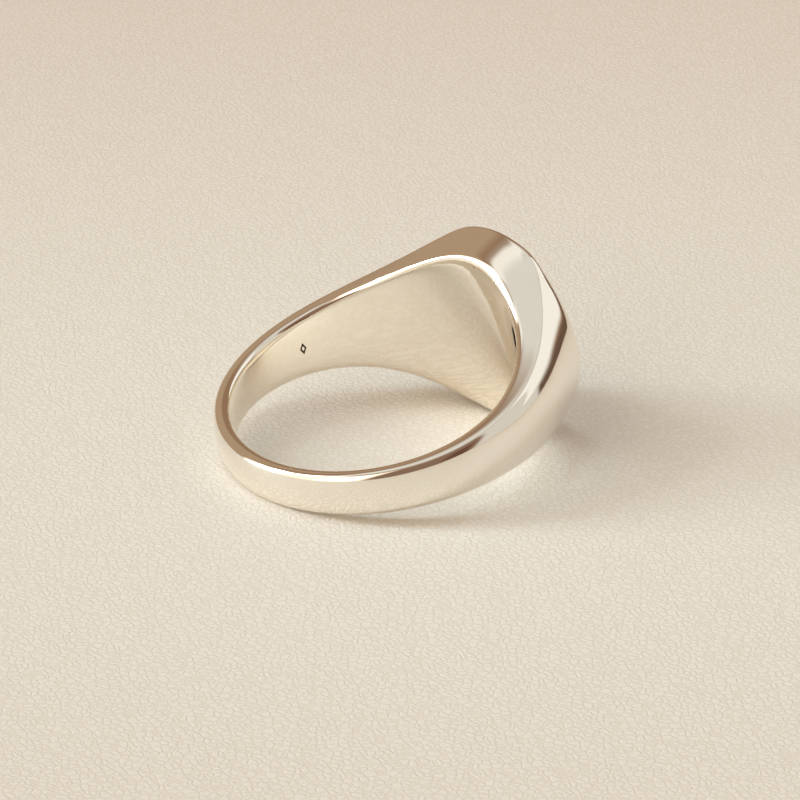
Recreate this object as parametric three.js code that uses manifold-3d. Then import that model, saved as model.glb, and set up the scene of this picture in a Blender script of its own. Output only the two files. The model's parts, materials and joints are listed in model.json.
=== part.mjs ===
// Plain silver signet ring, built up by hand: a thick head with a flat table, two tapered
// shoulders and a slim rear hoop, silver-soldered end to end and filed flush.
//
// Ring frame: bore axis along Z, head towards +X, ring plane at Z = 0.
// Row frame: the ring lies on its side on the floor (Z = 0), head towards +X and raised by the
// lay angle, origin at the centre of the bounding box's underside. Millimetres.
import * as THREE from 'three';
import { ParametricGeometry } from 'three/addons/geometries/ParametricGeometry.js';
import { mergeVertices } from 'three/addons/utils/BufferGeometryUtils.js';
import Module from 'manifold-3d';

// ---------------------------------------------------------------- driving dimensions (mm, deg)
const BORE_RADIUS = 7.85;          // inner diameter 15.7 mm
const HEAD_THICKNESS = 2.42;       // bore wall to the flat table, on the centre line
const TABLE_HALF_WIDTH = 5.38;     // half of the table, measured around the finger
const HEAD_HALF_LENGTH = 5.95;     // half of the head, measured along the finger, at its ridge
const HEAD_BORE_HALF_LENGTH = 5.07; // same, where the bore comes out
const HEAD_RIDGE_RISE = 3.06;      // height of the head's ridge line above the bore wall
const SHANK_THICKNESS = 0.97;      // rear hoop, crown above the bore wall
const SHANK_HALF_WIDTH = 1.22;     // rear hoop, half width
const SHANK_RIDGE_RISE = 0.8;      // height of the hoop's edge above the bore wall
const BORE_TAPER = 42.4;           // angle from the head at which the bore edge is half way down
const RIDGE_TAPER = 33.6;          // same for the ridge line's half length
const RISE_TAPER = 32.4;           // same for the ridge line's height
const CROWN_TAPER = 19.3;          // same for the crown's height above the ridge line
const HEAD_SEAM_OFFSET = 6;        // head seam lies this far behind the table's corner
const HOOP_SEAM_ANGLE = 68;        // where the shoulders end and the rear hoop begins
const SOLDER_FILM = 0.08;          // thickness of each solder joint

// ---------------------------------------------------------------- named roundings and blends
const BORE_EDGE_ROUND = 0.38;      // comfort rounding where bore meets side
const RIDGE_ROUND = 0.38;          // rounding along the ridge line
const TABLE_EDGE_BLEND = 1.05;     // soft edge between the crown and the table
const RIDGE_EDGE_BLEND = 0.3;      // soft end of the ridge line at the table
const MIN_CROWN = 0.02;            // the crown always stands this far above the ridge
const FILING_STOCK = 0.004;        // metal left on the table, then filed off dead flat

// ---------------------------------------------------------------- punched size mark
const MARK_ANGLE = 79.3;           // place on the bore wall, from the head
const MARK_HEIGHT = 0.74;          // along the finger
const MARK_WIDTH = 0.42;           // around the finger
const MARK_LINE = 0.1;             // width of the punched line
const MARK_DEPTH = 0.09;

// ---------------------------------------------------------------- mesh fineness
const SLICES = 144;                // around the finger
const BORE_STEPS = 2;
const EDGE_STEPS = 3;
const SIDE_STEPS = 2;
const RIDGE_STEPS = 6;
const CROWN_STEPS = 18;

const rad = THREE.MathUtils.degToRad;
const tableReach = BORE_RADIUS + HEAD_THICKNESS;
const tableCorner = Math.atan2(TABLE_HALF_WIDTH, tableReach);
const headSeam = tableCorner + rad(HEAD_SEAM_OFFSET);
const hoopSeam = rad(HOOP_SEAM_ANGLE);
const tool = 4 * tableReach;       // size of a cutting tool that always clears the ring

/** 1 at the head, 0 at the back, one half at the given angle from the head. */
function taper(angle, half) {
  const ratio = Math.abs(Math.sin(angle / 2)) / Math.tan(rad(half) / 2);
  const near = Math.cos(angle / 2) ** 2;
  return near / (near + ratio ** 2);
}

/** The smaller of two heights with a rounded change-over of the given length. */
function softMin(a, b, blend) {
  const h = THREE.MathUtils.clamp(0.5 + (0.5 * (b - a)) / blend, 0, 1);
  return b + (a - b) * h - blend * h * (1 - h);
}

/** Distance from the bore axis to the unfiled table's plane along a ray at this angle. */
function tableDistance(angle) {
  return Math.cos(angle) > 0.2 ? (tableReach + FILING_STOCK) / Math.cos(angle) : tool;
}

/** Height of the ridge line above the bore wall, before the table is cut. */
function ridgeRise(angle) {
  return THREE.MathUtils.lerp(SHANK_RIDGE_RISE, HEAD_RIDGE_RISE, taper(angle, RISE_TAPER));
}

// The crown swells towards the head so that it passes through the table's corners.
const backCrown = SHANK_THICKNESS - SHANK_RIDGE_RISE;
const cornerCrown = Math.hypot(tableReach, TABLE_HALF_WIDTH) - BORE_RADIUS
  - ridgeRise(tableCorner);
const headCrown = backCrown + (cornerCrown - backCrown) / taper(tableCorner, CROWN_TAPER);

/** Height of the domed crown above the ridge line. */
function crownRise(angle) {
  return Math.max(THREE.MathUtils.lerp(backCrown, headCrown, taper(angle, CROWN_TAPER)),
    MIN_CROWN);
}

/** Closed cross-section at one angle, as (distance from the axis, height) points. */
function section(angle) {
  const boreHalf = THREE.MathUtils.lerp(SHANK_HALF_WIDTH, HEAD_BORE_HALF_LENGTH,
    taper(angle, BORE_TAPER));
  const fullHalf = THREE.MathUtils.lerp(SHANK_HALF_WIDTH, HEAD_HALF_LENGTH,
    taper(angle, RIDGE_TAPER));
  const fullRise = ridgeRise(angle);
  const table = tableDistance(angle);
  const ridge = softMin(BORE_RADIUS + fullRise, table, RIDGE_EDGE_BLEND);
  const ridgeHalf = THREE.MathUtils.lerp(boreHalf, fullHalf, (ridge - BORE_RADIUS) / fullRise);
  const crown = BORE_RADIUS + fullRise + crownRise(angle);

  const axis = new THREE.Vector2(BORE_RADIUS, 0);
  const boreEdge = new THREE.Vector2(BORE_RADIUS, boreHalf);
  const ridgeEdge = new THREE.Vector2(ridge, ridgeHalf);
  const side = ridgeEdge.clone().sub(boreEdge);
  const sideLength = side.length();
  side.normalize();
  const round = Math.min(RIDGE_ROUND, 0.45 * Math.min(sideLength, ridgeHalf));
  const boreIn = new THREE.Vector2(BORE_RADIUS, boreHalf - BORE_EDGE_ROUND);
  const boreOut = boreEdge.clone().addScaledVector(side, BORE_EDGE_ROUND);
  const ridgeIn = ridgeEdge.clone().addScaledVector(side, -round);
  const bulge = (crown - ridge) / ridgeHalf ** 2;
  const slope = new THREE.Vector2(2 * bulge * ridgeHalf, -1).normalize();
  const crownStart = ridgeHalf + round * slope.y;
  const crownOf = (z) => ridge + bulge * (ridgeHalf ** 2 - z ** 2);
  const ridgeOut = new THREE.Vector2(crownOf(crownStart), crownStart);
  const crownPull = new THREE.Vector2(ridgeOut.x + 2 * bulge * crownStart ** 2, 0);

  const mirrored = (v) => new THREE.Vector2(v.x, -v.y);
  const path = [
    [new THREE.LineCurve(axis, boreIn), BORE_STEPS],
    [new THREE.QuadraticBezierCurve(boreIn, boreEdge, boreOut), EDGE_STEPS],
    [new THREE.LineCurve(boreOut, ridgeIn), SIDE_STEPS],
    [new THREE.QuadraticBezierCurve(ridgeIn, ridgeEdge, ridgeOut), RIDGE_STEPS],
    [new THREE.QuadraticBezierCurve(ridgeOut, crownPull, mirrored(ridgeOut)), CROWN_STEPS],
    [new THREE.QuadraticBezierCurve(mirrored(ridgeOut), mirrored(ridgeEdge),
      mirrored(ridgeIn)), RIDGE_STEPS],
    [new THREE.LineCurve(mirrored(ridgeIn), mirrored(boreOut)), SIDE_STEPS],
    [new THREE.QuadraticBezierCurve(mirrored(boreOut), mirrored(boreEdge),
      mirrored(boreIn)), EDGE_STEPS],
    [new THREE.LineCurve(mirrored(boreIn), axis), BORE_STEPS],
  ];
  const points = [];
  for (const [curve, steps] of path) {
    for (let i = 0; i < steps; i += 1) {
      const p = curve.getPoint(i / steps);
      if (p.x > BORE_RADIUS + BORE_EDGE_ROUND) p.x = softMin(p.x, table, TABLE_EDGE_BLEND);
      points.push(p);
    }
  }
  return points;
}

const outlines = [];
for (let i = 0; i < SLICES; i += 1) {
  outlines.push(section((i / SLICES) * 2 * Math.PI - Math.PI));
}
const STEPS = outlines[0].length;

/** The whole ring's surface: u runs around the cross-section, v around the finger. */
function ringSurface(u, v, target) {
  const slice = Math.round(v * SLICES) % SLICES;
  const p = outlines[slice][Math.round(u * STEPS) % STEPS];
  const angle = (slice / SLICES) * 2 * Math.PI - Math.PI;
  target.set(p.x * Math.cos(angle), p.x * Math.sin(angle), p.y);
}

const wasm = await Module();
wasm.setup();

/** A three.js geometry as a manifold solid. */
function solid(geometry) {
  const bare = geometry.clone();
  bare.deleteAttribute('normal');
  bare.deleteAttribute('uv');
  const welded = mergeVertices(bare, 1e-5);
  const mesh = new wasm.Mesh({
    numProp: 3,
    vertProperties: new Float32Array(welded.attributes.position.array),
    triVerts: new Uint32Array(welded.index.array),
  });
  const result = new wasm.Manifold(mesh);
  if (result.volume() < 0) throw new Error('surface faces inwards');
  return result;
}

/** A manifold solid as a three.js geometry. */
function geometryOf(body) {
  const mesh = body.getMesh();
  const geometry = new THREE.BufferGeometry();
  geometry.setAttribute('position', new THREE.BufferAttribute(mesh.vertProperties, 3));
  geometry.setIndex(new THREE.BufferAttribute(mesh.triVerts, 1));
  geometry.computeVertexNormals();
  return geometry;
}

/** A wedge around the bore axis between two angles, cut from flat radial faces. */
function wedge(from, to) {
  const shape = new THREE.Shape();
  shape.moveTo(0, 0);
  const corners = Math.max(2, Math.ceil((to - from) / rad(30)));
  for (let i = 0; i <= corners; i += 1) {
    const angle = from + ((to - from) * i) / corners;
    shape.lineTo(tool * Math.cos(angle), tool * Math.sin(angle));
  }
  shape.closePath();
  const geometry = new THREE.ExtrudeGeometry(shape, { depth: tool, bevelEnabled: false });
  return solid(geometry.translate(0, 0, -tool / 2));
}

/** The thin slot that a solder joint fills, centred on one seam angle. */
function seamSlot(angle) {
  const geometry = new THREE.BoxGeometry(tool, SOLDER_FILM, tool);
  geometry.translate(tool / 2 + BORE_RADIUS / 2, 0, 0);
  return solid(geometry.rotateZ(angle));
}

/** A lozenge outline with the given half diagonals. */
function lozenge(kind, halfHeight, halfWidth) {
  const outline = new kind();
  outline.moveTo(halfHeight, 0);
  outline.lineTo(0, halfWidth);
  outline.lineTo(-halfHeight, 0);
  outline.lineTo(0, -halfWidth);
  outline.closePath();
  return outline;
}

/** The hollow lozenge punch that leaves the size mark as a line in the bore wall. */
function sizePunch() {
  const shape = lozenge(THREE.Shape, MARK_HEIGHT / 2, MARK_WIDTH / 2);
  const side = Math.hypot(MARK_HEIGHT, MARK_WIDTH);
  const inner = 1 - (MARK_LINE * 2 * side) / (MARK_HEIGHT * MARK_WIDTH);
  if (inner > 0) {
    shape.holes.push(lozenge(THREE.Path, (inner * MARK_HEIGHT) / 2, (inner * MARK_WIDTH) / 2));
  }
  const geometry = new THREE.ExtrudeGeometry(shape, {
    depth: MARK_DEPTH + BORE_RADIUS / 4,
    bevelEnabled: false,
  });
  geometry.rotateY(-Math.PI / 2);
  geometry.rotateZ(Math.PI);
  geometry.translate(BORE_RADIUS * 0.75, 0, 0);
  return solid(geometry.rotateZ(rad(MARK_ANGLE)));
}

// ---------------------------------------------------------------- the soldered-up pieces
const rough = solid(new ParametricGeometry(ringSurface, STEPS, SLICES));
const whole = rough.trimByPlane([-1, 0, 0], -tableReach);
const seams = {
  head_left: headSeam,
  head_right: -headSeam,
  hoop_left: hoopSeam,
  hoop_right: -hoopSeam,
};
const slots = {};
for (const [name, angle] of Object.entries(seams)) slots[name] = seamSlot(angle);
const allSlots = Object.values(slots).reduce((sum, slot) => sum.add(slot));
const pieceOf = (from, to) => whole.intersect(wedge(from, to)).subtract(allSlots);

const silver = { color: 0xd9d4cb, roughness: 0.12, metalness: 1 };
const solder = { color: 0xcfc6b4, roughness: 0.25, metalness: 1 };

/** One named mesh with its own material. */
function piece(name, body, finish) {
  const mesh = new THREE.Mesh(geometryOf(body), new THREE.MeshStandardMaterial(finish));
  mesh.name = name;
  return mesh;
}

const head = new THREE.Group();
head.name = 'head_group';
head.add(piece('signet_head', pieceOf(-headSeam, headSeam), silver));

const shoulders = new THREE.Group();
shoulders.name = 'shoulder_group';
shoulders.add(
  piece('shoulder_left', pieceOf(headSeam, hoopSeam), silver),
  piece('shoulder_right', pieceOf(-hoopSeam, -headSeam), silver),
);

const hoop = new THREE.Group();
hoop.name = 'hoop_group';
const hoopBody = pieceOf(hoopSeam, 2 * Math.PI - hoopSeam).subtract(sizePunch());
hoop.add(piece('shank_hoop', hoopBody, silver));

const joints = new THREE.Group();
joints.name = 'solder_group';
for (const [name, slot] of Object.entries(slots)) {
  joints.add(piece(`solder_${name}`, whole.intersect(slot), solder));
}

// ---------------------------------------------------------------- lay the ring on the floor
/** Angle that brings the head's lower edge and the back of the hoop down to one level. */
function layAngle() {
  let low = -Math.PI / 4;
  let high = Math.PI / 4;
  for (let turn = 0; turn < 40; turn += 1) {
    const slope = Math.tan((low + high) / 2);
    let lowest = Infinity;
    let reach = 0;
    outlines.forEach((outline, slice) => {
      const c = Math.cos((slice / SLICES) * 2 * Math.PI - Math.PI);
      for (const p of outline) {
        const along = Math.min(p.x * c, tableReach);
        const drop = p.y - slope * along;
        if (drop < lowest) {
          lowest = drop;
          reach = along;
        }
      }
    });
    if (reach > 0) high = (low + high) / 2;
    else low = (low + high) / 2;
  }
  return -(low + high) / 2;
}

const laid = new THREE.Group();
laid.name = 'ring_laid_down';
laid.add(head, shoulders, hoop, joints);
laid.rotation.y = -layAngle();

const group = new THREE.Group();
group.name = 'signet_ring';
group.add(laid);
group.updateMatrixWorld(true);
const box = new THREE.Box3().setFromObject(laid, true);
laid.position.set(
  -(box.min.x + box.max.x) / 2,
  -(box.min.y + box.max.y) / 2,
  -box.min.z,
);
group.updateMatrixWorld(true);

export default group;
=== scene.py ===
"""Polished sterling silver signet ring lying on its side, with a plain studio around it.

One rough ring is drawn up and polished as a whole, then parted into head, shoulders and
rear hoop, with a film of hard solder in each joint, as in a ring made up by hand. No joint
shows on the real ring, which may have been cast in one.
"""

import json
import logging
import math
from dataclasses import dataclass, field
from enum import Enum
from typing import Any, Callable, Iterable, Sequence

import bmesh
import bpy
from mathutils import Matrix, Vector


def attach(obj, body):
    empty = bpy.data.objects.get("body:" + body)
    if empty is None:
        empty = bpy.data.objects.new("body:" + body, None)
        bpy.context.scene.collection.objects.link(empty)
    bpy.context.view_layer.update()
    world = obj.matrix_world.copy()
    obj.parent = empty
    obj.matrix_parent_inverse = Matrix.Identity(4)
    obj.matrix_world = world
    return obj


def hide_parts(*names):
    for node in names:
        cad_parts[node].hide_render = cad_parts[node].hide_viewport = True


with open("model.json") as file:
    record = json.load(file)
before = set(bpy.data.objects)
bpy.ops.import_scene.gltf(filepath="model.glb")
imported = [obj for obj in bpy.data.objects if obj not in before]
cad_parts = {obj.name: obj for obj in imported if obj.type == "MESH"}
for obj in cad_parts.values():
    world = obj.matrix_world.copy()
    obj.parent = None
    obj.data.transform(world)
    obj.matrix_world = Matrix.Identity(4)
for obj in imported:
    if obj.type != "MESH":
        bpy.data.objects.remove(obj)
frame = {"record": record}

LOG = logging.getLogger("signet_ring")
MM = 0.001
WELD = 1e-8
POLISHED_NORMAL = "polished_normal"
BORE_MASK = "bore_mask"


def srgb(code: str) -> tuple[float, float, float, float]:
    """Turn an sRGB hex colour into the linear colour a shader takes.

    Args:
        code: Colour as six hex digits, with or without a leading hash.

    Returns:
        Linear red, green, blue and an alpha of one.
    """
    digits = code.lstrip("#")
    steps = [int(digits[i : i + 2], 16) / 255 for i in (0, 2, 4)]
    red, green, blue = (
        c / 12.92 if c <= 0.04045 else ((c + 0.055) / 1.055) ** 2.4 for c in steps
    )
    return red, green, blue, 1.0


def add_node(
    tree: bpy.types.NodeTree,
    kind: str,
    settings: dict[str, Any] | None = None,
    inputs: dict[str | int, Any] | None = None,
) -> bpy.types.Node:
    """Add one node with its settings and its inputs, which are values or sockets to link.

    Args:
        tree: Node tree that gets the node.
        kind: Blender's node type name.
        settings: Attributes set on the node itself.
        inputs: Socket name or number to a value, or to an output socket.

    Returns:
        The new node.
    """
    node = tree.nodes.new(kind)
    for name, value in (settings or {}).items():
        setattr(node, name, value)
    for name, value in (inputs or {}).items():
        if isinstance(value, bpy.types.NodeSocket):
            tree.links.new(value, node.inputs[name])
        else:
            node.inputs[name].default_value = value
    return node


def blank_material(name: str) -> tuple[bpy.types.Material, bpy.types.NodeTree]:
    """Make an empty node material.

    Args:
        name: Name of the finish.

    Returns:
        The material and its node tree, with no nodes in it.
    """
    material = bpy.data.materials.new(name)
    material.use_nodes = True
    material.node_tree.nodes.clear()
    return material, material.node_tree


class Side(Enum):
    """Side of the ring, as seen from the hoop looking towards the head."""

    LEFT = 1
    RIGHT = -1


# --------------------------------------------------------------------------- finishes
@dataclass(frozen=True)
class PolishedSilver:
    """Sterling silver, buffed with rouge outside and only tumbled inside the bore.

    The outside mirrors its surroundings almost cleanly, with hairline wear. The bore is a
    little softer and wavier, because a buff doesn't reach it as well.
    """

    name: str = "sterling_silver_rouge_polished"
    base: str = "#FAF6EF"
    worn: str = "#F4EEE4"
    bore_tone: str = "#F9F3E8"
    roughness: float = 0.035
    bore_roughness: float = 0.045
    ripple_mm: float = 2.6
    ripple_depth_mm: float = 0.006
    bore_ripple_mm: float = 0.8
    bore_ripple_depth_mm: float = 0.008
    hairline_mm: float = 0.05
    hairline_depth_mm: float = 0.0006
    pit_mm: float = 1.1
    pit_share: float = 0.045
    # Pit colour: grime in the pits and painted shade of their hollows.
    pit_grime_and_shade: str = "#5B4A3A"
    pit_core: float = 0.05
    pit_rim: float = 0.07
    tone_mm: float = 1.7
    smear_mm: float = 0.9

    def material(self) -> bpy.types.Material:
        """Build the node material."""
        material, tree = blank_material(self.name)
        place = add_node(tree, "ShaderNodeTexCoord").outputs["Object"]
        mask = add_node(
            tree, "ShaderNodeAttribute", {"attribute_name": BORE_MASK}
        ).outputs["Fac"]

        tone = add_node(
            tree,
            "ShaderNodeTexNoise",
            inputs={"Vector": place, "Scale": 1 / (self.tone_mm * MM), "Detail": 3.0},
        )
        tint = add_node(
            tree,
            "ShaderNodeMix",
            {"data_type": "RGBA"},
            {"Factor": tone.outputs["Fac"], 6: srgb(self.base), 7: srgb(self.worn)},
        )
        lined = add_node(
            tree,
            "ShaderNodeMix",
            {"data_type": "RGBA"},
            {"Factor": mask, 6: tint.outputs[2], 7: srgb(self.bore_tone)},
        )
        pits = self._pits(tree, place, mask)
        # Darken the pits: grime and painted shade of their hollows.
        coloured = add_node(
            tree,
            "ShaderNodeMix",
            {"data_type": "RGBA"},
            {"Factor": pits, 6: lined.outputs[2], 7: srgb(self.pit_grime_and_shade)},
        )

        smear = add_node(
            tree,
            "ShaderNodeTexNoise",
            inputs={"Vector": place, "Scale": 1 / (self.smear_mm * MM), "Detail": 5.0},
        )
        outer_rough = add_node(
            tree,
            "ShaderNodeMapRange",
            inputs={
                "Value": smear.outputs["Fac"],
                "From Min": 0.3,
                "From Max": 0.75,
                "To Min": self.roughness * 0.75,
                "To Max": self.roughness * 1.5,
            },
        )
        rough = add_node(
            tree,
            "ShaderNodeMix",
            {"data_type": "FLOAT"},
            {"Factor": mask, 2: outer_rough.outputs["Result"], 3: self.bore_roughness},
        )

        ripples = self._ripples(tree, place, mask)
        shader = add_node(
            tree,
            "ShaderNodeBsdfPrincipled",
            inputs={
                "Base Color": coloured.outputs[2],
                "Metallic": 1.0,
                "Roughness": rough.outputs[0],
                "Normal": ripples,
            },
        )
        add_node(
            tree, "ShaderNodeOutputMaterial", inputs={"Surface": shader.outputs[0]}
        )
        return material

    def _pits(
        self,
        tree: bpy.types.NodeTree,
        place: bpy.types.NodeSocket,
        mask: bpy.types.NodeSocket,
    ) -> bpy.types.NodeSocket:
        """Scatter a few pinhead pits, which polishing leaves only inside the bore; their
        dark colour is the grime they hold and painted shade in their hollows.

        Args:
            tree: The material's node tree.
            place: Where the shaded point lies on the ring.
            mask: How far inside the bore it lies, from nothing to one.

        Returns:
            How much of a pit the point is in, from nothing to one.
        """
        cells = add_node(
            tree,
            "ShaderNodeTexVoronoi",
            {"feature": "F1"},
            {"Vector": place, "Scale": 1 / (self.pit_mm * MM), "Randomness": 1.0},
        )
        dot = add_node(
            tree,
            "ShaderNodeMapRange",
            inputs={
                "Value": cells.outputs["Distance"],
                "From Min": self.pit_core,
                "From Max": self.pit_rim,
                "To Min": 1.0,
                "To Max": 0.0,
            },
        )
        pick = add_node(
            tree,
            "ShaderNodeSeparateColor",
            inputs={"Color": cells.outputs["Color"]},
        )
        chosen = add_node(
            tree,
            "ShaderNodeMath",
            {"operation": "LESS_THAN"},
            {0: pick.outputs[0], 1: self.pit_share},
        )
        some = add_node(
            tree,
            "ShaderNodeMath",
            {"operation": "MULTIPLY"},
            {0: dot.outputs["Result"], 1: chosen.outputs[0]},
        )
        return add_node(
            tree, "ShaderNodeMath", {"operation": "MULTIPLY"}, {0: some.outputs[0], 1: mask}
        ).outputs[0]

    def _ripples(
        self,
        tree: bpy.types.NodeTree,
        place: bpy.types.NodeSocket,
        mask: bpy.types.NodeSocket,
    ) -> bpy.types.NodeSocket:
        """Stack long polishing waves outside, short ones inside, and hairlines over both.

        Args:
            tree: The material's node tree.
            place: Where the shaded point lies on the ring.
            mask: How far inside the bore it lies, from nothing to one.

        Returns:
            The rippled normal.
        """
        broad = add_node(
            tree,
            "ShaderNodeTexNoise",
            inputs={
                "Vector": place,
                "Scale": 1 / (self.ripple_mm * MM),
                "Detail": 1.0,
                "Roughness": 0.4,
            },
        )
        broad_bump = add_node(
            tree,
            "ShaderNodeBump",
            inputs={
                "Height": broad.outputs["Fac"],
                "Strength": 1.0,
                "Distance": self.ripple_depth_mm * MM,
            },
        )
        short = add_node(
            tree,
            "ShaderNodeTexNoise",
            inputs={
                "Vector": place,
                "Scale": 1 / (self.bore_ripple_mm * MM),
                "Detail": 3.0,
                "Roughness": 0.55,
                "Distortion": 0.6,
            },
        )
        inside = add_node(
            tree,
            "ShaderNodeMath",
            {"operation": "MULTIPLY"},
            {0: short.outputs["Fac"], 1: mask},
        )
        short_bump = add_node(
            tree,
            "ShaderNodeBump",
            inputs={
                "Height": inside.outputs[0],
                "Strength": 1.0,
                "Distance": self.bore_ripple_depth_mm * MM,
                "Normal": broad_bump.outputs["Normal"],
            },
        )
        turned = add_node(
            tree,
            "ShaderNodeMapping",
            inputs={
                "Vector": place,
                "Rotation": (0.6, 0.3, 0.9),
                "Scale": (1.0, 0.04, 0.2),
            },
        )
        hair = add_node(
            tree,
            "ShaderNodeTexNoise",
            inputs={
                "Vector": turned.outputs["Vector"],
                "Scale": 1 / (self.hairline_mm * MM),
                "Detail": 2.0,
            },
        )
        return add_node(
            tree,
            "ShaderNodeBump",
            inputs={
                "Height": hair.outputs["Fac"],
                "Strength": 1.0,
                "Distance": self.hairline_depth_mm * MM,
                "Normal": short_bump.outputs["Normal"],
            },
        ).outputs["Normal"]


@dataclass(frozen=True)
class SilverSolder(PolishedSilver):
    """Hard silver solder, filed flush: a shade warmer than the sterling round it."""

    name: str = "hard_silver_solder_filed"
    base: str = "#F9F4EB"
    worn: str = "#F3ECE0"
    roughness: float = 0.04


@dataclass(frozen=True)
class StruckOxide:
    """Bottom of the punched mark, where sulphide tarnish stays out of the cloth's reach."""

    name: str = "silver_sulphide_in_punch"
    dark: str = "#3A2E25"
    pale: str = "#6B5A49"
    grain_mm: float = 0.06
    grain_depth_mm: float = 0.01
    metal_left: float = 0.6
    roughness: float = 0.55

    def material(self) -> bpy.types.Material:
        """Build the node material."""
        material, tree = blank_material(self.name)
        place = add_node(tree, "ShaderNodeTexCoord").outputs["Object"]
        grain = add_node(
            tree,
            "ShaderNodeTexNoise",
            inputs={"Vector": place, "Scale": 1 / (self.grain_mm * MM), "Detail": 3.0},
        )
        colour = add_node(
            tree,
            "ShaderNodeMix",
            {"data_type": "RGBA"},
            {"Factor": grain.outputs["Fac"], 6: srgb(self.dark), 7: srgb(self.pale)},
        )
        relief = add_node(
            tree,
            "ShaderNodeBump",
            inputs={
                "Height": grain.outputs["Fac"],
                "Strength": 0.5,
                "Distance": self.grain_depth_mm * MM,
            },
        )
        shader = add_node(
            tree,
            "ShaderNodeBsdfPrincipled",
            inputs={
                "Base Color": colour.outputs[2],
                "Metallic": self.metal_left,
                "Roughness": self.roughness,
                "Normal": relief.outputs["Normal"],
            },
        )
        add_node(
            tree, "ShaderNodeOutputMaterial", inputs={"Surface": shader.outputs[0]}
        )
        return material


@dataclass(frozen=True)
class PaleLeatherette:
    """Cream leatherette for the plain floor, embossed with a fine pebbled grain, with
    painted shade in its creases.
    """

    name: str = "cream_leatherette_embossed"
    light: str = "#EFEBE3"
    # Painted shade: colour of the creases between the pebbles.
    painted_crease_shade: str = "#E9E3D8"
    grain_mm: float = 0.42
    grain_depth_mm: float = 0.018
    swell_mm: float = 3.0
    swell_depth_mm: float = 0.05
    sway_mm: float = 0.5
    sway_reach_mm: float = 0.2
    roughness: float = 0.6

    def material(self) -> bpy.types.Material:
        """Build the node material."""
        material, tree = blank_material(self.name)
        place = add_node(tree, "ShaderNodeTexCoord").outputs["Object"]
        sway = add_node(
            tree,
            "ShaderNodeTexNoise",
            inputs={"Vector": place, "Scale": 1 / (self.sway_mm * MM), "Detail": 2.0},
        )
        bend = add_node(
            tree,
            "ShaderNodeVectorMath",
            {"operation": "SCALE"},
            {0: sway.outputs["Color"], "Scale": self.sway_reach_mm * MM},
        )
        bent = add_node(
            tree,
            "ShaderNodeVectorMath",
            {"operation": "ADD"},
            {0: place, 1: bend.outputs[0]},
        )
        pebbles = add_node(
            tree,
            "ShaderNodeTexVoronoi",
            {"feature": "DISTANCE_TO_EDGE"},
            {"Vector": bent.outputs[0], "Scale": 1 / (self.grain_mm * MM)},
        )
        crease = add_node(
            tree,
            "ShaderNodeMapRange",
            {"interpolation_type": "SMOOTHSTEP"},
            {
                "Value": pebbles.outputs["Distance"],
                "From Min": 0.0,
                "From Max": 0.22,
            },
        )
        # Painted shade: the creases between the pebbles are coloured a shade darker than the
        # pebble tops.
        colour = add_node(
            tree,
            "ShaderNodeMix",
            {"data_type": "RGBA"},
            {
                "Factor": crease.outputs["Result"],
                6: srgb(self.painted_crease_shade),
                7: srgb(self.light),
            },
        )
        swell = add_node(
            tree,
            "ShaderNodeTexNoise",
            inputs={"Vector": place, "Scale": 1 / (self.swell_mm * MM), "Detail": 3.0},
        )
        wave = add_node(
            tree,
            "ShaderNodeBump",
            inputs={
                "Height": swell.outputs["Fac"],
                "Strength": 1.0,
                "Distance": self.swell_depth_mm * MM,
            },
        )
        relief = add_node(
            tree,
            "ShaderNodeBump",
            inputs={
                "Height": crease.outputs["Result"],
                "Strength": 1.0,
                "Distance": self.grain_depth_mm * MM,
                "Normal": wave.outputs["Normal"],
            },
        )
        shader = add_node(
            tree,
            "ShaderNodeBsdfPrincipled",
            inputs={
                "Base Color": colour.outputs[2],
                "Roughness": self.roughness,
                "Normal": relief.outputs["Normal"],
            },
        )
        add_node(
            tree, "ShaderNodeOutputMaterial", inputs={"Surface": shader.outputs[0]}
        )
        return material


# --------------------------------------------------------------------------- the ring's form
def soft_min(a: float, b: float, blend: float) -> float:
    """The smaller of two heights, with a rounded change-over.

    Args:
        a: First height.
        b: Second height.
        blend: Length of the change-over.

    Returns:
        The blended height.
    """
    h = min(max(0.5 + 0.5 * (b - a) / blend, 0.0), 1.0)
    return b + (a - b) * h - blend * h * (1 - h)


def curve_points(corners: Sequence[Vector], count: int) -> list[Vector]:
    """Points along a straight line or a quadratic curve, without its last point.

    Args:
        corners: Two ends of a line, or two ends with the pull point between them.
        count: How many points to give.

    Returns:
        The points, evenly spaced in the curve's parameter.
    """
    points = []
    for i in range(count):
        t = i / count
        if len(corners) == 2:
            points.append(corners[0].lerp(corners[1], t))
        else:
            first = corners[0].lerp(corners[1], t)
            second = corners[1].lerp(corners[2], t)
            points.append(first.lerp(second, t))
    return points


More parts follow.
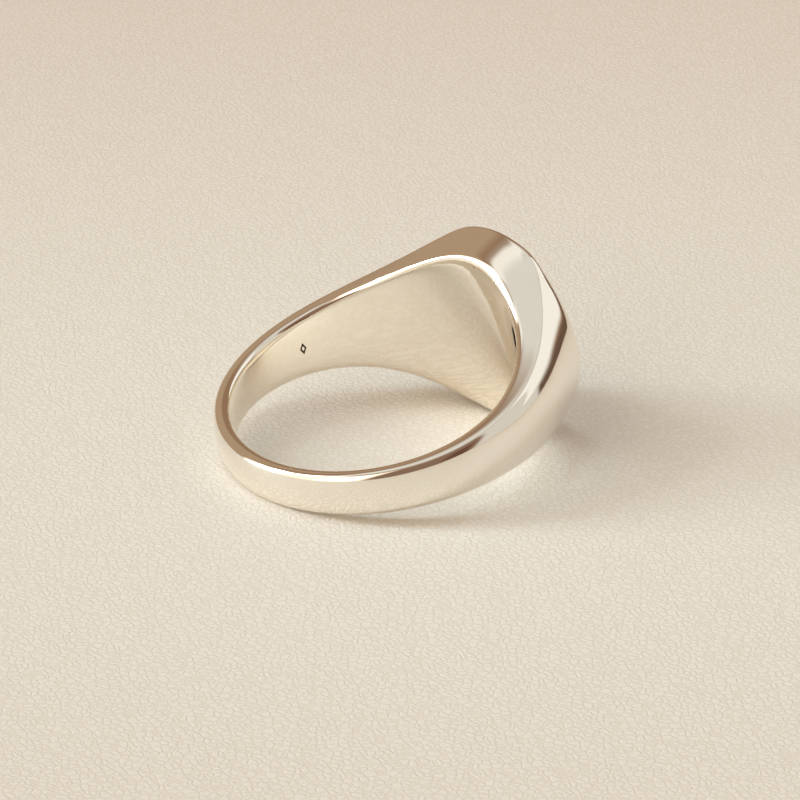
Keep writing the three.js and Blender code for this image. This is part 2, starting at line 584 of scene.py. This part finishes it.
@dataclass(frozen=True)
class RingForm:
    """Sizes of the ring and its cross-section at every angle, in metres and degrees.

    Angles are measured round the finger from the middle of the head, heights along it.
    """

    bore_radius: float = 7.85 * MM
    head_thickness: float = 2.42 * MM
    table_half_width: float = 5.38 * MM
    head_half_length: float = 5.95 * MM
    head_bore_half_length: float = 5.07 * MM
    head_ridge_rise: float = 3.06 * MM
    shank_thickness: float = 0.97 * MM
    shank_half_width: float = 1.22 * MM
    shank_ridge_rise: float = 0.8 * MM
    bore_taper: float = 42.4
    ridge_taper: float = 33.6
    rise_taper: float = 32.4
    crown_taper: float = 19.3
    bore_edge_round: float = 0.38 * MM
    ridge_round: float = 0.38 * MM
    table_edge_blend: float = 1.05 * MM
    ridge_edge_blend: float = 0.3 * MM
    head_seam_offset: float = 6.0
    hoop_seam_angle: float = 68.0
    solder_film: float = 0.08 * MM
    table_sight: float = 0.2
    round_share: float = 0.45

    @property
    def table_reach(self) -> float:
        """Bore axis to the flat table."""
        return self.bore_radius + self.head_thickness

    @property
    def table_corner(self) -> float:
        """Angle of the table's corner, in radians."""
        return math.atan2(self.table_half_width, self.table_reach)

    @property
    def head_seam(self) -> float:
        """Angle of the joints between head and shoulders, in radians."""
        return self.table_corner + math.radians(self.head_seam_offset)

    @property
    def hoop_seam(self) -> float:
        """Angle of the joints between shoulders and rear hoop, in radians."""
        return math.radians(self.hoop_seam_angle)

    @property
    def back_crown(self) -> float:
        """Height of the rear hoop's dome above its ridge line."""
        return self.shank_thickness - self.shank_ridge_rise

    @property
    def head_crown(self) -> float:
        """Height of the dome at the head, which passes through the table's corners."""
        corner = math.hypot(self.table_reach, self.table_half_width)
        needed = corner - self.bore_radius - self.ridge_rise(self.table_corner)
        share = self.taper(self.table_corner, self.crown_taper)
        return self.back_crown + (needed - self.back_crown) / share

    @staticmethod
    def taper(angle: float, half: float) -> float:
        """One at the head, nothing at the back, and one half at the given angle.

        Args:
            angle: Angle round the finger, in radians.
            half: Angle at which the taper is half way down, in degrees.

        Returns:
            The taper, from nothing to one.
        """
        ratio = abs(math.sin(angle / 2)) / math.tan(math.radians(half) / 2)
        near = math.cos(angle / 2) ** 2
        return near / (near + ratio**2)

    def between(self, angle: float, half: float, back: float, head: float) -> float:
        """A size that grows from the back of the ring to its head along a taper."""
        return back + (head - back) * self.taper(angle, half)

    def table_distance(self, angle: float) -> float:
        """Bore axis to the table's plane along a ray at this angle.

        Args:
            angle: Angle round the finger, in radians.

        Returns:
            The distance, or one well clear of the ring where the ray runs past the table.
        """
        if math.cos(angle) <= self.table_sight:
            return 4 * self.table_reach
        return self.table_reach / math.cos(angle)

    def ridge_rise(self, angle: float) -> float:
        """Height of the ridge line above the bore wall, before the table is cut."""
        return self.between(
            angle, self.rise_taper, self.shank_ridge_rise, self.head_ridge_rise
        )

    def crown_distance(self, angle: float) -> float:
        """Bore axis to the top of the domed crown."""
        dome = self.between(angle, self.crown_taper, self.back_crown, self.head_crown)
        return self.bore_radius + self.ridge_rise(angle) + dome

    def outline(self, angle: float, density: int) -> list[Vector]:
        """Closed cross-section at one angle.

        Args:
            angle: Angle round the finger, in radians.
            density: How finely the outline is divided.

        Returns:
            Points as (distance from the bore axis, height, 0), starting in the bore.
        """
        bore_half = self.between(
            angle, self.bore_taper, self.shank_half_width, self.head_bore_half_length
        )
        full_half = self.between(
            angle, self.ridge_taper, self.shank_half_width, self.head_half_length
        )
        full_rise = self.ridge_rise(angle)
        table = self.table_distance(angle)
        ridge = soft_min(self.bore_radius + full_rise, table, self.ridge_edge_blend)
        share = (ridge - self.bore_radius) / full_rise
        ridge_half = bore_half + (full_half - bore_half) * share
        crown = self.crown_distance(angle)

        bore_edge = Vector((self.bore_radius, bore_half, 0))
        ridge_edge = Vector((ridge, ridge_half, 0))
        side = (ridge_edge - bore_edge).normalized()
        reach = self.round_share * min((ridge_edge - bore_edge).length, ridge_half)
        turn = min(self.ridge_round, reach)
        bore_in = bore_edge - Vector((0, self.bore_edge_round, 0))
        bore_out = bore_edge + side * self.bore_edge_round
        ridge_in = ridge_edge - side * turn
        bulge = (crown - ridge) / ridge_half**2
        slope = Vector((2 * bulge * ridge_half, -1, 0)).normalized()
        start = ridge_half + turn * slope.y
        ridge_out = Vector((ridge + bulge * (ridge_half**2 - start**2), start, 0))
        crown_pull = Vector((ridge_out.x + 2 * bulge * start**2, 0, 0))

        def low(point: Vector) -> Vector:
            """The same point on the lower half."""
            return Vector((point.x, -point.y, 0))

        axis = Vector((self.bore_radius, 0, 0))
        runs = [
            ((axis, bore_in), 3 * density),
            ((bore_in, bore_edge, bore_out), 2 * density),
            ((bore_out, ridge_in), 4 * density),
            ((ridge_in, ridge_edge, ridge_out), 5 * density),
            ((ridge_out, crown_pull, low(ridge_out)), 14 * density),
            ((low(ridge_out), low(ridge_edge), low(ridge_in)), 5 * density),
            ((low(ridge_in), low(bore_out)), 4 * density),
            ((low(bore_out), low(bore_edge), low(bore_in)), 2 * density),
            ((low(bore_in), axis), 3 * density),
        ]
        points = []
        for corners, count in runs:
            for point in curve_points(corners, count):
                if point.x > self.bore_radius + self.bore_edge_round:
                    point.x = soft_min(point.x, table, self.table_edge_blend)
                points.append(point)
        return points


@dataclass(frozen=True)
class RestingPlace:
    """Where the ring lies: its tilt and its bore centre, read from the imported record."""

    tilt: float
    centre: Vector

    @classmethod
    def from_record(cls, record: dict[str, Any], form: RingForm) -> "RestingPlace":
        """Work the place out from the table's recorded point and direction.

        Args:
            record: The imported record.
            form: The ring's sizes.

        Returns:
            The resting place.
        """
        mount = next(m for m in record["mounts"] if m["name"] == "seal_face")
        axis = Vector(mount["axis"]).normalized()
        centre = Vector(mount["pos_m"]) - axis * form.table_reach
        return cls(tilt=math.atan2(axis.z, axis.x), centre=centre)

    @property
    def matrix(self) -> Matrix:
        """Upright ring frame to the row frame."""
        return Matrix.Translation(self.centre) @ Matrix.Rotation(-self.tilt, 4, "Y")


@dataclass
class RoughRing:
    """The whole ring as one piece, drawn up round the finger and polished."""

    form: RingForm
    slices: int = 600
    density: int = 4
    polishing_passes: int = 14
    bore_mask_start: float = 0.75
    bore_mask_span: float = 0.2

    def draw_up(self) -> bmesh.types.BMesh:
        """Spin a circle into a plain hoop, work it to shape, and polish it.

        Returns:
            The ring in its own upright frame, head towards +X.
        """
        ring = bmesh.new()
        station = ring.verts.layers.int.new("station")
        steps = len(self.form.outline(0.0, self.density))
        made = bmesh.ops.create_circle(
            ring, cap_ends=False, segments=steps, radius=0.3 * self.form.bore_radius
        )
        loop = made["verts"]
        stand = Matrix.Translation((self.form.bore_radius * 1.5, 0, 0)) @ Matrix.Rotation(
            math.radians(90), 4, "X"
        )
        bmesh.ops.transform(ring, matrix=stand, verts=loop)
        ordered = sorted(
            loop,
            key=lambda v: math.atan2(v.co.z, self.form.bore_radius * 1.5 - v.co.x)
            % (2 * math.pi),
        )
        for i, vert in enumerate(ordered):
            vert[station] = i
        bmesh.ops.spin(
            ring,
            geom=ring.verts[:] + ring.edges[:],
            cent=(0, 0, 0),
            axis=(0, 0, 1),
            angle=2 * math.pi,
            steps=self.slices,
            use_merge=True,
        )
        bmesh.ops.remove_doubles(ring, verts=ring.verts[:], dist=1e-7)
        self._work_to_shape(ring, station)
        for _ in range(self.polishing_passes):
            bmesh.ops.smooth_vert(
                ring,
                verts=ring.verts[:],
                factor=0.5,
                use_axis_x=True,
                use_axis_y=True,
                use_axis_z=True,
            )
        bmesh.ops.recalc_face_normals(ring, faces=ring.faces[:])
        ring.normal_update()
        self._note_surface(ring)
        return ring

    def _work_to_shape(self, ring: bmesh.types.BMesh, station: Any) -> None:
        """Move each point of the plain hoop to its place on the ring's cross-section.

        Args:
            ring: The plain hoop.
            station: Layer that holds each point's number on the cross-section.
        """
        outlines: dict[int, list[Vector]] = {}
        for vert in ring.verts:
            angle = math.atan2(vert.co.y, vert.co.x)
            key = round(angle / (2 * math.pi) * self.slices) % self.slices
            if key not in outlines:
                exact = key / self.slices * 2 * math.pi
                exact = exact - 2 * math.pi if exact > math.pi else exact
                outlines[key] = self.form.outline(exact, self.density)
            point = outlines[key][vert[station]]
            exact = key / self.slices * 2 * math.pi
            vert.co = Vector(
                (point.x * math.cos(exact), point.x * math.sin(exact), point.y)
            )

    def _note_surface(self, ring: bmesh.types.BMesh) -> None:
        """Store the polished normal and how far each point lies inside the bore.

        Args:
            ring: The polished ring, with its normals up to date.
        """
        ring.verts.layers.float_vector.new(POLISHED_NORMAL)
        ring.verts.layers.float.new(BORE_MASK)
        normal = ring.verts.layers.float_vector[POLISHED_NORMAL]
        mask = ring.verts.layers.float[BORE_MASK]
        for vert in ring.verts:
            vert[normal] = vert.normal
            radius = math.hypot(vert.co.x, vert.co.y)
            inward = -(vert.normal.x * vert.co.x + vert.normal.y * vert.co.y) / radius
            share = (inward - self.bore_mask_start) / self.bore_mask_span
            vert[mask] = min(max(share, 0.0), 1.0)


@dataclass
class Workshop:
    """What every piece of the ring is cut from and dressed with."""

    form: RingForm
    place: RestingPlace
    rough: bmesh.types.BMesh
    silver: bpy.types.Material
    solder: bpy.types.Material
    oxide: bpy.types.Material
    saw_reach: float = 0.3 * MM

    def score_joints(self) -> None:
        """Cut both faces of every joint into the rough ring."""
        for angle in (self.form.head_seam, self.form.hoop_seam):
            for side in Side:
                for edge in (-0.5, 0.5):
                    self._score(side.value * angle, edge * self.form.solder_film)

    def _score(self, angle: float, offset: float) -> None:
        """Cut the rough ring along one plane beside a joint.

        Args:
            angle: The joint's angle round the finger.
            offset: Distance of the plane from the joint's middle.
        """
        along = Vector((math.cos(angle), math.sin(angle), 0))
        across = Vector((-math.sin(angle), math.cos(angle), 0))
        near = [
            face
            for face in self.rough.faces
            if along.dot(face.calc_center_median()) > 0
            and abs(across.dot(face.calc_center_median()) - offset) < self.saw_reach
        ]
        parts = {e for face in near for e in face.edges}
        points = {v for face in near for v in face.verts}
        bmesh.ops.bisect_plane(
            self.rough,
            geom=[*points, *parts, *near],
            dist=WELD,
            plane_co=across * offset,
            plane_no=across,
        )

    def cut_piece(self, wanted: Callable[[Vector], bool]) -> bmesh.types.BMesh:
        """Copy the faces of one piece and close its sawn ends.

        Args:
            wanted: Says whether a face with this centre belongs to the piece.

        Returns:
            The closed piece, in the upright ring frame.
        """
        piece = self.rough.copy()
        drop = [f for f in piece.faces if not wanted(f.calc_center_median())]
        bmesh.ops.delete(piece, geom=drop, context="FACES")
        rim = [e for e in piece.edges if e.is_boundary]
        caps = bmesh.ops.holes_fill(piece, edges=rim, sides=0)["faces"]
        normal = piece.verts.layers.float_vector[POLISHED_NORMAL]
        split = bmesh.ops.split(piece, geom=caps)["geom"]
        for face in (g for g in split if isinstance(g, bmesh.types.BMFace)):
            face.normal_update()
            for vert in face.verts:
                vert[normal] = face.normal
        return piece

    def finish_piece(
        self,
        name: str,
        piece: bmesh.types.BMesh,
        materials: Sequence[bpy.types.Material],
        slot: str,
    ) -> bpy.types.Object:
        """Lay a piece in place, give it its polished normals and its finish.

        Args:
            name: The new object's name, and the node it stands for with "_polished" off.
            piece: The shaped mesh.
            materials: Finishes, in the order the faces number them.
            slot: The record's material slot; not used.

        Returns:
            The finished object.
        """
        turn = self.place.matrix
        normal = piece.verts.layers.float_vector[POLISHED_NORMAL]
        spin = turn.to_3x3()
        normals = [(spin @ vert[normal]).normalized() for vert in piece.verts]
        bmesh.ops.transform(piece, matrix=turn, verts=piece.verts[:])
        mesh = bpy.data.meshes.new(name)
        for face in piece.faces:
            face.smooth = True
        piece.to_mesh(mesh)
        piece.free()
        for material in materials:
            mesh.materials.append(material)
        mesh.normals_split_custom_set_from_vertices(normals)
        made = bpy.data.objects.new(name, mesh)
        bpy.context.scene.collection.objects.link(made)
        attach(made, "root")
        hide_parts(name.removesuffix("_polished"))
        LOG.info("%s: %d faces", name, len(mesh.polygons))
        return made

    def beside(self, point: Vector, angle: float) -> tuple[float, float]:
        """Place a point against one joint's plane.

        Args:
            point: The point, in the upright ring frame.
            angle: The joint's angle round the finger, in radians.

        Returns:
            Distance along the joint's ray, and distance behind its plane.
        """
        along = Vector((math.cos(angle), math.sin(angle), 0))
        across = Vector((-math.sin(angle), math.cos(angle), 0))
        return along.dot(point), across.dot(point)


# --------------------------------------------------------------------------- the pieces
@dataclass
class SignetHead:
    """Thick head with its flat table, between the two head joints."""

    shop: Workshop

    def build(self) -> bpy.types.Object:
        """Cut and dress the head."""
        film = self.shop.form.solder_film / 2
        seam = self.shop.form.head_seam

        def wanted(point: Vector) -> bool:
            """Between the two head joints, on the head's side of the bore.

            Args:
                point: Middle of a face, in the upright ring frame.

            Returns:
                Whether the face belongs to the piece.
            """
            ahead, left = self.shop.beside(point, seam)
            _, right = self.shop.beside(point, -seam)
            return ahead > 0 and point.x > 0 and left < -film and right > film

        piece = self.shop.cut_piece(wanted)
        return self.shop.finish_piece(
            "signet_head_polished", piece, [self.shop.silver], "sterling_silver"
        )


@dataclass
class Shoulder:
    """Straight tapered shoulder on one side, between its head joint and its hoop joint."""

    shop: Workshop
    side: Side

    def build(self) -> bpy.types.Object:
        """Cut and dress the shoulder."""
        film = self.shop.form.solder_film / 2
        head, hoop = self.shop.form.head_seam, self.shop.form.hoop_seam
        sign = self.side.value

        def wanted(point: Vector) -> bool:
            """Behind the head joint and in front of the hoop joint.

            Args:
                point: Middle of a face, in the upright ring frame.

            Returns:
                Whether the face belongs to the piece.
            """
            own = Vector((point.x, sign * point.y, point.z))
            ahead, behind_head = self.shop.beside(own, head)
            _, behind_hoop = self.shop.beside(own, hoop)
            return ahead > 0 and behind_head > film and behind_hoop < -film

        piece = self.shop.cut_piece(wanted)
        name = f"shoulder_{self.side.name.lower()}_polished"
        return self.shop.finish_piece(
            name, piece, [self.shop.silver], "sterling_silver"
        )


@dataclass
class SizeMark:
    """Hollow lozenge punched into the bore wall."""

    angle: float = math.radians(79.3)
    height: float = 0.74 * MM
    width: float = 0.42 * MM
    line: float = 0.1 * MM
    depth: float = 0.07 * MM
    lip: float = 0.012 * MM
    search_share: float = 1.8
    wall_slack: float = 1.004

    def punch(self, piece: bmesh.types.BMesh, bore_radius: float) -> None:
        """Cut the lozenge's outline into the wall and sink it.

        Args:
            piece: The hoop, in the upright ring frame.
            bore_radius: Radius of the wall it is struck in.
        """
        along = Vector((-math.sin(self.angle), math.cos(self.angle), 0))
        side = math.hypot(self.height, self.width)
        inner = 1 - self.line * 2 * side / (self.height * self.width)
        for share in (1.0, inner):
            for sx in (-1, 1):
                for sz in (-1, 1):
                    slant = along * (sx * self.height) + Vector((0, 0, sz * self.width))
                    self._slit(
                        piece,
                        bore_radius,
                        along * (sx * share * self.width / 2),
                        slant.normalized(),
                    )
        groove = [
            face
            for face in self._wall(piece, bore_radius)
            if inner < self._share(face.calc_center_median()) < 1.0
        ]
        sunk = bmesh.ops.inset_region(
            piece,
            faces=groove,
            thickness=self.lip,
            depth=-self.depth,
            use_boundary=True,
            use_even_offset=True,
        )
        for face in [*groove, *sunk["faces"]]:
            face.material_index = 1
        LOG.info("size mark: %d faces sunk", len(groove))

    def _share(self, point: Vector) -> float:
        """How far out a point lies in the lozenge.

        Args:
            point: The point, in the upright ring frame.

        Returns:
            Nothing at the middle, one on the lozenge's outline.
        """
        along = Vector((-math.sin(self.angle), math.cos(self.angle), 0))
        return abs(along.dot(point)) / (self.width / 2) + abs(point.z) / (
            self.height / 2
        )

    def _wall(
        self, piece: bmesh.types.BMesh, bore_radius: float
    ) -> list[bmesh.types.BMFace]:
        """Find the faces of the bore wall close round the mark.

        Args:
            piece: The hoop, in the upright ring frame.
            bore_radius: Radius of the wall.

        Returns:
            The faces.
        """
        ray = Vector((math.cos(self.angle), math.sin(self.angle), 0))
        found = []
        for face in piece.faces:
            middle = face.calc_center_median()
            flat = math.hypot(middle.x, middle.y)
            if (
                ray.dot(middle) > 0.9 * bore_radius
                and flat < bore_radius * self.wall_slack
                and self._share(middle) < self.search_share
            ):
                found.append(face)
        return found

    def _slit(
        self,
        piece: bmesh.types.BMesh,
        bore_radius: float,
        through: Vector,
        across: Vector,
    ) -> None:
        """Cut the wall's faces along one side of the lozenge.

        Args:
            piece: The hoop, in the upright ring frame.
            bore_radius: Radius of the wall.
            through: A point on the cut.
            across: Direction square to the cut.
        """
        near = self._wall(piece, bore_radius)
        parts = {e for face in near for e in face.edges}
        points = {v for face in near for v in face.verts}
        bmesh.ops.bisect_plane(
            piece,
            geom=[*points, *parts, *near],
            dist=WELD,
            plane_co=through,
            plane_no=across,
        )


@dataclass
class RearHoop:
    """Slim hoop round the back of the finger, with the size mark inside it."""

    shop: Workshop
    mark: SizeMark = field(default_factory=SizeMark)

    def build(self) -> bpy.types.Object:
        """Cut the hoop, strike its mark and dress it."""
        film = self.shop.form.solder_film / 2
        hoop = self.shop.form.hoop_seam

        def wanted(point: Vector) -> bool:
            """Behind both hoop joints.

            Args:
                point: Middle of a face, in the upright ring frame.

            Returns:
                Whether the face belongs to the piece.
            """
            own = Vector((point.x, abs(point.y), point.z))
            ahead, behind = self.shop.beside(own, hoop)
            return behind > film or ahead < 0

        piece = self.shop.cut_piece(wanted)
        self.mark.punch(piece, self.shop.form.bore_radius)
        return self.shop.finish_piece(
            "shank_hoop_polished",
            piece,
            [self.shop.silver, self.shop.oxide],
            "sterling_silver",
        )


@dataclass
class SolderJoints:
    """The four films of hard solder, filed flush with the silver on both sides."""

    shop: Workshop

    def build(self) -> list[bpy.types.Object]:
        """Cut and dress every film."""
        made = []
        seams = {"head": self.shop.form.head_seam, "hoop": self.shop.form.hoop_seam}
        for name, angle in seams.items():
            for side in Side:
                made.append(self._film(f"solder_{name}_{side.name.lower()}", angle, side))
        return made

    def _film(self, name: str, angle: float, side: Side) -> bpy.types.Object:
        """Cut and dress one film.

        Args:
            name: The joint's name.
            angle: Its angle round the finger.
            side: Which side it is on.

        Returns:
            The finished film.
        """
        film = self.shop.form.solder_film / 2

        def wanted(point: Vector) -> bool:
            """Within half a film of the joint's plane.

            Args:
                point: Middle of a face, in the upright ring frame.

            Returns:
                Whether the face belongs to the piece.
            """
            ahead, off = self.shop.beside(point, side.value * angle)
            return ahead > 0 and abs(off) < film

        piece = self.shop.cut_piece(wanted)
        return self.shop.finish_piece(
            f"{name}_polished", piece, [self.shop.solder], "silver_solder"
        )


# --------------------------------------------------------------------------- the studio
@dataclass(frozen=True)
class SoftPanel:
    """One soft light panel or flag round the ring, by where it stands and how big it looks.

    Azimuth is the direction it stands in, from +X towards +Y; all in degrees.
    """

    azimuth: float
    half_width: float
    low: float
    high: float
    feather: float
    tint: str
    power: float = 1.0


@dataclass
class Studio:
    """Warm room with soft panels, pale floor and the camera."""

    place: RestingPlace
    wall: str = "#9A7B60"
    ceiling: str = "#E6E1D8"
    wall_top: float = 55.0
    ceiling_edge: float = 82.0
    panels: tuple[SoftPanel, ...] = (
        SoftPanel(100, 36, -10, 52, 16, "#B79C80"),
        SoftPanel(118, 20, 66, 84, 6, "#F4F0E8", 1.15),
        SoftPanel(170, 42, -8, 60, 12, "#FFEFDA", 1.5),
        SoftPanel(141, 12, -8, 64, 8, "#FFF4E6", 3.2),
        SoftPanel(-168, 13, 4, 52, 8, "#FFF4E6", 2.4),
        SoftPanel(-44, 32, -14, 70, 8, "#E2DCD2"),
        SoftPanel(-16, 22, 6.5, 70, 4, "#F6F3EC", 1.15),
        SoftPanel(2, 26, -7, 4.5, 4, "#6E5747"),
        SoftPanel(-112, 34, -10, 58, 14, "#8F7360"),
        SoftPanel(-90, 9, -20, 36, 10, "#6E5040"),
        SoftPanel(60, 200, 76, 96, 6, "#E8E4DC"),
    )
    strength: float = 0.92
    camera_azimuth: float = -42.717
    camera_elevation: float = 23.384
    camera_roll: float = 1.5
    camera_distance: float = 250 * MM
    lens: float = 209.43
    aim: tuple[float, float, float] = (1.3448 * MM, -0.2954 * MM, 0.0)
    beam_azimuth: float = 137.0
    beam_elevations: tuple[float, ...] = (17.0, 29.0, 42.0)
    beam_distance: float = 600 * MM
    beam_radius: float = 50 * MM
    beam_cone: float = 13.0
    beam_power: float = 2.1
    beam_tint: str = "#D4F0FF"
    fill_elevation: float = 78.0
    fill_power: float = 1.7
    fill_radius: float = 100 * MM
    fill_cone: float = 45.0
    beam_aim: tuple[float, float] = (4 * MM, -8 * MM)
    floor_half: float = 600 * MM

    def build(self) -> None:
        """Set up surroundings, floor and camera."""
        self._surroundings()
        self._beam()
        self._floor()
        self._camera()

    def _surroundings(self) -> None:
        """Paint the panels on a warm wall that surrounds everything."""
        world = bpy.data.worlds.new("warm_room")
        bpy.context.scene.world = world
        world.use_nodes = True
        tree = world.node_tree
        tree.nodes.clear()
        look = add_node(tree, "ShaderNodeTexCoord").outputs["Generated"]
        split = add_node(tree, "ShaderNodeSeparateXYZ", inputs={0: look})
        turn = add_node(
            tree,
            "ShaderNodeMath",
            {"operation": "ARCTAN2"},
            {0: split.outputs["Y"], 1: split.outputs["X"]},
        ).outputs[0]
        rise = add_node(
            tree, "ShaderNodeMath", {"operation": "ARCSINE"}, {0: split.outputs["Z"]}
        ).outputs[0]
        wash = add_node(
            tree,
            "ShaderNodeMapRange",
            {"interpolation_type": "SMOOTHSTEP"},
            {
                "Value": rise,
                "From Min": math.radians(self.wall_top),
                "From Max": math.radians(self.ceiling_edge),
            },
        )
        colour = add_node(
            tree,
            "ShaderNodeMix",
            {"data_type": "RGBA"},
            {
                "Factor": wash.outputs["Result"],
                6: srgb(self.wall),
                7: srgb(self.ceiling),
            },
        ).outputs[2]
        for panel in self.panels:
            colour = self._paint(tree, panel, turn, rise, colour)
        back = add_node(
            tree,
            "ShaderNodeBackground",
            inputs={"Color": colour, "Strength": self.strength},
        )
        add_node(tree, "ShaderNodeOutputWorld", inputs={"Surface": back.outputs[0]})

    def _paint(
        self,
        tree: bpy.types.NodeTree,
        panel: SoftPanel,
        turn: bpy.types.NodeSocket,
        rise: bpy.types.NodeSocket,
        under: bpy.types.NodeSocket,
    ) -> bpy.types.NodeSocket:
        """Lay one panel over what is painted so far.

        Args:
            tree: The world's node tree.
            panel: The panel to paint.
            turn: Azimuth looked at, in radians.
            rise: Elevation looked at, in radians.
            under: Colour painted so far.

        Returns:
            Colour with the panel over it.
        """
        offset = add_node(
            tree,
            "ShaderNodeMath",
            {"operation": "SUBTRACT"},
            {0: turn, 1: math.radians(panel.azimuth)},
        ).outputs[0]
        round_trip = add_node(
            tree,
            "ShaderNodeMath",
            {"operation": "WRAP"},
            {0: offset, 1: math.pi, 2: -math.pi},
        ).outputs[0]
        away = add_node(
            tree, "ShaderNodeMath", {"operation": "ABSOLUTE"}, {0: round_trip}
        ).outputs[0]
        masks = []
        edges = (
            (away, panel.half_width, -1),
            (rise, panel.low, 1),
            (rise, panel.high, -1),
        )
        for value, edge, sign in edges:
            near = math.radians(edge - sign * panel.feather / 2)
            far = math.radians(edge + sign * panel.feather / 2)
            masks.append(
                add_node(
                    tree,
                    "ShaderNodeMapRange",
                    {"interpolation_type": "SMOOTHSTEP"},
                    {
                        "Value": value,
                        "From Min": min(near, far),
                        "From Max": max(near, far),
                        "To Min": 0.0 if sign > 0 else 1.0,
                        "To Max": 1.0 if sign > 0 else 0.0,
                    },
                ).outputs["Result"]
            )
        both = add_node(
            tree, "ShaderNodeMath", {"operation": "MULTIPLY"}, {0: masks[0], 1: masks[1]}
        ).outputs[0]
        mask = add_node(
            tree, "ShaderNodeMath", {"operation": "MULTIPLY"}, {0: both, 1: masks[2]}
        ).outputs[0]
        tint = tuple(c * panel.power for c in srgb(panel.tint)[:3]) + (1.0,)
        return add_node(
            tree,
            "ShaderNodeMix",
            {"data_type": "RGBA"},
            {"Factor": mask, 6: under, 7: tint},
        ).outputs[2]

    def _beam(self) -> None:
        """Throw a stack of soft beams across the ring, and a softer fill from overhead.

        The stack acts as one tall window, so the shadow is soft. The fill lights the
        floor inside the ring, and is left out of what the metal mirrors.
        """
        azimuth = math.radians(self.beam_azimuth)
        target = Vector((*self.beam_aim, 0.0))
        lamps = [
            (elevation, self.beam_power, self.beam_radius, self.beam_cone)
            for elevation in self.beam_elevations
        ]
        lamps.append(
            (self.fill_elevation, self.fill_power, self.fill_radius, self.fill_cone)
        )
        for number, (elevation, power, radius, cone) in enumerate(lamps):
            rise = math.radians(elevation)
            towards = Vector(
                (
                    math.cos(azimuth) * math.cos(rise),
                    math.sin(azimuth) * math.cos(rise),
                    math.sin(rise),
                )
            )
            name = f"soft_beam_{number}"
            data = bpy.data.lights.new(name, "SPOT")
            data.energy = power
            data.color = srgb(self.beam_tint)[:3]
            data.shadow_soft_size = radius
            data.spot_size = math.radians(cone)
            data.spot_blend = 1.0
            lamp = bpy.data.objects.new(name, data)
            lamp.visible_glossy = elevation != self.fill_elevation
            lamp.matrix_world = Matrix.Translation(
                target + towards * self.beam_distance
            ) @ towards.to_track_quat("Z", "Y").to_matrix().to_4x4()
            bpy.context.scene.collection.objects.link(lamp)

    def _floor(self) -> None:
        """Lay a plain pale sheet under the ring."""
        board = bmesh.new()
        bmesh.ops.create_grid(board, x_segments=8, y_segments=8, size=self.floor_half)
        mesh = bpy.data.meshes.new("floor")
        board.to_mesh(mesh)
        board.free()
        mesh.materials.append(PaleLeatherette().material())
        floor = bpy.data.objects.new("floor", mesh)
        bpy.context.scene.collection.objects.link(floor)

    def _camera(self) -> None:
        """Stand the camera behind and above the hoop, looking past it at the head."""
        azimuth = math.radians(self.camera_azimuth)
        rise = math.radians(self.camera_elevation)
        back = Vector(
            (
                math.sin(azimuth) * math.cos(rise),
                -math.cos(azimuth) * math.cos(rise),
                math.sin(rise),
            )
        )
        right = Vector((math.cos(azimuth), math.sin(azimuth), 0))
        up = back.cross(right)
        roll = Matrix.Rotation(math.radians(self.camera_roll), 3, back)
        axes = Matrix((roll @ right, roll @ up, back)).transposed()
        target = self.place.centre + Vector(self.aim)
        data = bpy.data.cameras.new("camera")
        data.lens = self.lens
        data.sensor_width = 36.0
        data.clip_start = 1 * MM
        camera = bpy.data.objects.new("camera", data)
        camera.matrix_world = (
            Matrix.Translation(target + back * self.camera_distance) @ axes.to_4x4()
        )
        bpy.context.scene.collection.objects.link(camera)
        bpy.context.scene.camera = camera


def main() -> None:
    """Build the ring's pieces and the studio in order."""
    logging.basicConfig(level=logging.INFO, format="%(name)s %(message)s")
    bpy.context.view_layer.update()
    bpy.context.scene.view_settings.view_transform = "Standard"
    form = RingForm()
    place = RestingPlace.from_record(frame["record"], form)
    rough = RoughRing(form).draw_up()
    shop = Workshop(
        form=form,
        place=place,
        rough=rough,
        silver=PolishedSilver().material(),
        solder=SilverSolder().material(),
        oxide=StruckOxide().material(),
    )
    shop.score_joints()
    SignetHead(shop).build()
    for side in Side:
        Shoulder(shop, side).build()
    RearHoop(shop).build()
    SolderJoints(shop).build()
    rough.free()
    Studio(place).build()


if __name__ == "__main__":
    main()
